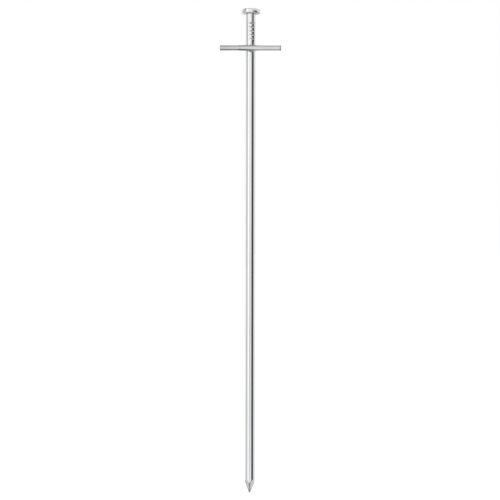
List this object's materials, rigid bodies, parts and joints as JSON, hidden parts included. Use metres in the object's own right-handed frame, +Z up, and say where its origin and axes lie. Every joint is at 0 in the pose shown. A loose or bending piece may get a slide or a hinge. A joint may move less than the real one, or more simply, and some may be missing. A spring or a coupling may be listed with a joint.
{
  "type": "tent stake",
  "caption": "Headed nail-type steel tent stake with a short round cross bar welded across its neck, die grip marks under the head and a faceted point.",
  "frame": {"origin": "on the shank's axis, level with the tip, which is the middle of the foot of the object's box", "axes": "+Z up the shank from the tip to the head, +X along the cross bar, which lies on the -Y side of the shank"},
  "size_m": [0.0506, 0.0161, 0.4],
  "materials": {
    "plated_spike": "bright zinc plating, glossy, with fine lengthwise wire-drawing lines",
    "plated_bar": "bright zinc plating, satin, with fine lengthwise wire-drawing lines",
    "plated_weld": "zinc plated weld metal, duller and slightly rippled"
  },
  "bodies": {
    "root": {"spike": "plated_spike", "cross_bar": "plated_bar", "weld_bead_upper": "plated_weld", "weld_bead_lower": "plated_weld"}
  },
  "joints": []
}
